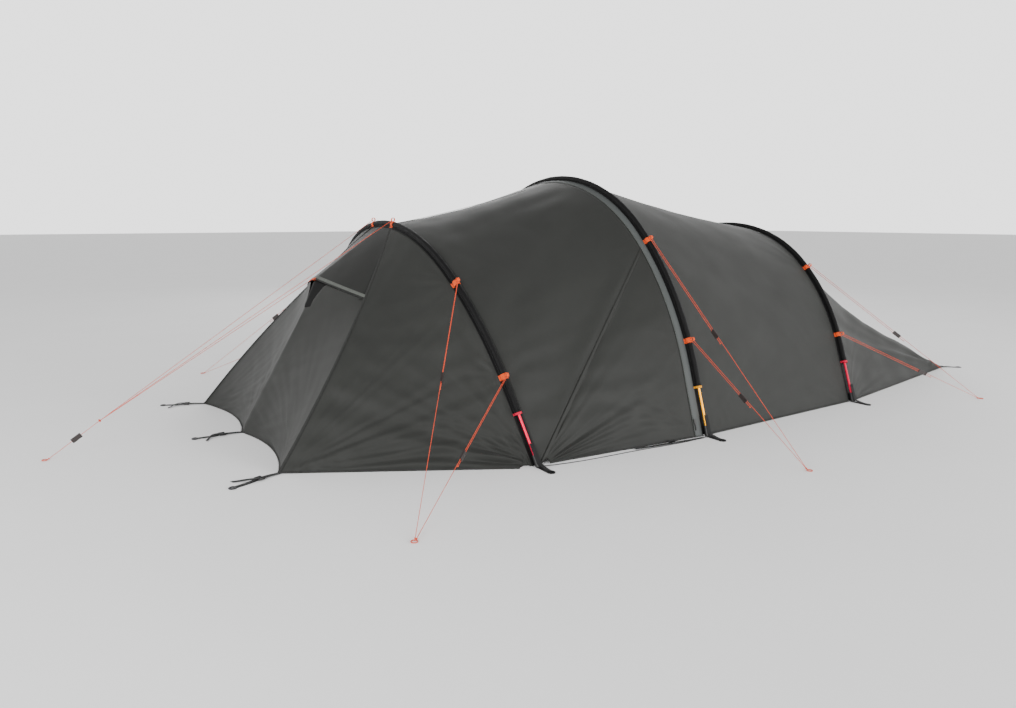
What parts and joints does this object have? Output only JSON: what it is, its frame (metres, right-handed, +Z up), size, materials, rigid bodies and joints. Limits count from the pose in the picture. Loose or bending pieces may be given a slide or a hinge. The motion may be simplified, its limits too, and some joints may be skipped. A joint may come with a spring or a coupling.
{
  "type": "tunnel tent",
  "caption": "Low tunnel tent on pole hoops with a tapering vestibule, a vent hood, side doors, an inner tent, a tapering tail and guy lines with sliders.",
  "frame": {"origin": "on the ground, at the centre of the tent body's footprint, straps counted and guy lines not", "axes": "+X along the tent to the tail, +Y to the far side, +Z up"},
  "size_m": [4.9407, 3.084, 1.112],
  "materials": {
    "skin": "coated woven nylon",
    "guy_line": "braided cord",
    "slider": "moulded",
    "pole_gold": "anodised",
    "pole_pink": "anodised",
    "pole": "anodised",
    "sleeve": "woven nylon",
    "cup": "moulded",
    "webbing": "woven webbing",
    "flap": "woven nylon",
    "mesh": "fine mesh",
    "zip": "moulded",
    "floor": "coated nylon",
    "inner": "breathable nylon"
  },
  "bodies": {
    "tent": {"front_pole": "pole", "front_pole_end_near": "pole_pink", "front_pole_end_far": "pole_pink", "middle_pole": "pole", "middle_pole_end_near": "pole_gold", "middle_pole_end_far": "pole_gold", "rear_pole": "pole", "rear_pole_end_near": "pole_pink", "rear_pole_end_far": "pole_pink", "front_sleeve": "sleeve", "middle_sleeve": "sleeve", "rear_sleeve": "sleeve", "front_foot_near": "cup", "front_foot_far": "cup", "middle_foot_near": "cup", "middle_foot_far": "cup", "rear_foot_near": "cup", "rear_foot_far": "cup", "front_roof": "skin", "storm_flap": "flap", "rear_roof": "skin", "tail_panel": "skin", "vestibule_near": "skin", "vestibule_far": "skin", "vestibule_centre": "skin", "vent_hood": "skin", "vent_mesh": "mesh", "inner_floor": "floor", "inner_canopy": "inner", "inner_wall": "inner", "nose_strap_near": "webbing", "nose_strap_mid": "webbing", "nose_strap_far": "webbing", "tail_strap_near": "webbing", "tail_strap_far": "webbing", "front_guy_near": "guy_line", "front_guy_far": "guy_line", "middle_guy_near": "guy_line", "middle_guy_far": "guy_line", "rear_guy_near": "guy_line", "rear_guy_far": "guy_line", "nose_guy": "guy_line"},
    "side_door_near": {"door_near": "skin"},
    "side_door_far": {"door_far": "skin"},
    "inner_door": {"inner_door_leaf": "inner"},
    "zip_slider_near": {"zip_slider_near": "zip"},
    "zip_slider_far": {"zip_slider_far": "zip"},
    "slider_front_near_upper": {"grip_front_near_upper": "slider"},
    "slider_front_near_lower": {"grip_front_near_lower": "slider"},
    "slider_front_far_upper": {"grip_front_far_upper": "slider"},
    "slider_front_far_lower": {"grip_front_far_lower": "slider"},
    "slider_middle_near_upper": {"grip_middle_near_upper": "slider"},
    "slider_middle_near_lower": {"grip_middle_near_lower": "slider"},
    "slider_middle_far_upper": {"grip_middle_far_upper": "slider"},
    "slider_middle_far_lower": {"grip_middle_far_lower": "slider"},
    "slider_rear_near_upper": {"grip_rear_near_upper": "slider"},
    "slider_rear_near_lower": {"grip_rear_near_lower": "slider"},
    "slider_rear_far_upper": {"grip_rear_far_upper": "slider"},
    "slider_rear_far_lower": {"grip_rear_far_lower": "slider"},
    "slider_nose": {"grip_nose": "slider"}
  },
  "joints": [
    {"name": "side_door_near_swing", "type": "hinge", "parent": "tent", "child": "side_door_near", "pos_m": [-1.15018, -0.98997, 0], "axis": [-0.6844, -0.2898, -0.669], "range_deg": [0, 110]},
    {"name": "side_door_far_swing", "type": "hinge", "parent": "tent", "child": "side_door_far", "pos_m": [-1.15018, 0.98997, 0], "axis": [0.6844, -0.2898, 0.669], "range_deg": [0, 110]},
    {"name": "inner_door_swing", "type": "hinge", "parent": "tent", "child": "inner_door", "pos_m": [-0.228, 0.282, 0.4], "axis": [0, 0, -1], "range_deg": [0, 95]},
    {"name": "zip_near_slide", "type": "slide", "parent": "tent", "child": "zip_slider_near", "axis": [0, 0.309, 0.9511], "range_m": [0, 0.2]},
    {"name": "zip_far_slide", "type": "slide", "parent": "tent", "child": "zip_slider_far", "axis": [0, -0.309, 0.9511], "range_m": [0, 0.2]},
    {"name": "slider_front_near_upper_slide", "type": "slide", "parent": "tent", "child": "slider_front_near_upper", "axis": [-0.5079, -0.6411, -0.5753], "range_m": [-0.1, 0.02]},
    {"name": "slider_front_far_upper_slide", "type": "slide", "parent": "tent", "child": "slider_front_far_upper", "axis": [-0.5079, 0.6411, -0.5753], "range_m": [-0.1, 0.02]},
    {"name": "slider_front_near_lower_slide", "type": "slide", "parent": "tent", "child": "slider_front_near_lower", "axis": [-0.7426, -0.5524, -0.3788], "range_m": [-0.1, 0.02]},
    {"name": "slider_front_far_lower_slide", "type": "slide", "parent": "tent", "child": "slider_front_far_lower", "axis": [-0.7426, 0.5524, -0.3788], "range_m": [-0.1, 0.02]},
    {"name": "slider_middle_near_upper_slide", "type": "slide", "parent": "tent", "child": "slider_middle_near_upper", "axis": [-0.0251, -0.7229, -0.6905], "range_m": [-0.1, 0.02]},
    {"name": "slider_middle_far_upper_slide", "type": "slide", "parent": "tent", "child": "slider_middle_far_upper", "axis": [-0.0251, 0.7229, -0.6905], "range_m": [-0.1, 0.02]},
    {"name": "slider_middle_near_lower_slide", "type": "slide", "parent": "tent", "child": "slider_middle_near_lower", "axis": [-0.0417, -0.8285, -0.5584], "range_m": [-0.1, 0.02]},
    {"name": "slider_middle_far_lower_slide", "type": "slide", "parent": "tent", "child": "slider_middle_far_lower", "axis": [-0.0417, 0.8285, -0.5584], "range_m": [-0.1, 0.02]},
    {"name": "slider_rear_near_upper_slide", "type": "slide", "parent": "tent", "child": "slider_rear_near_upper", "axis": [0.4315, -0.6552, -0.62], "range_m": [-0.1, 0.02]},
    {"name": "slider_rear_far_upper_slide", "type": "slide", "parent": "tent", "child": "slider_rear_far_upper", "axis": [0.4315, 0.6552, -0.62], "range_m": [-0.1, 0.02]},
    {"name": "slider_rear_near_lower_slide", "type": "slide", "parent": "tent", "child": "slider_rear_near_lower", "axis": [0.7094, -0.5628, -0.4243], "range_m": [-0.1, 0.02]},
    {"name": "slider_rear_far_lower_slide", "type": "slide", "parent": "tent", "child": "slider_rear_far_lower", "axis": [0.7094, 0.5628, -0.4243], "range_m": [-0.1, 0.02]},
    {"name": "slider_nose_slide", "type": "slide", "parent": "tent", "child": "slider_nose", "axis": [-0.8333, 0, -0.5528], "range_m": [-0.04, 0.04]}
  ]
}
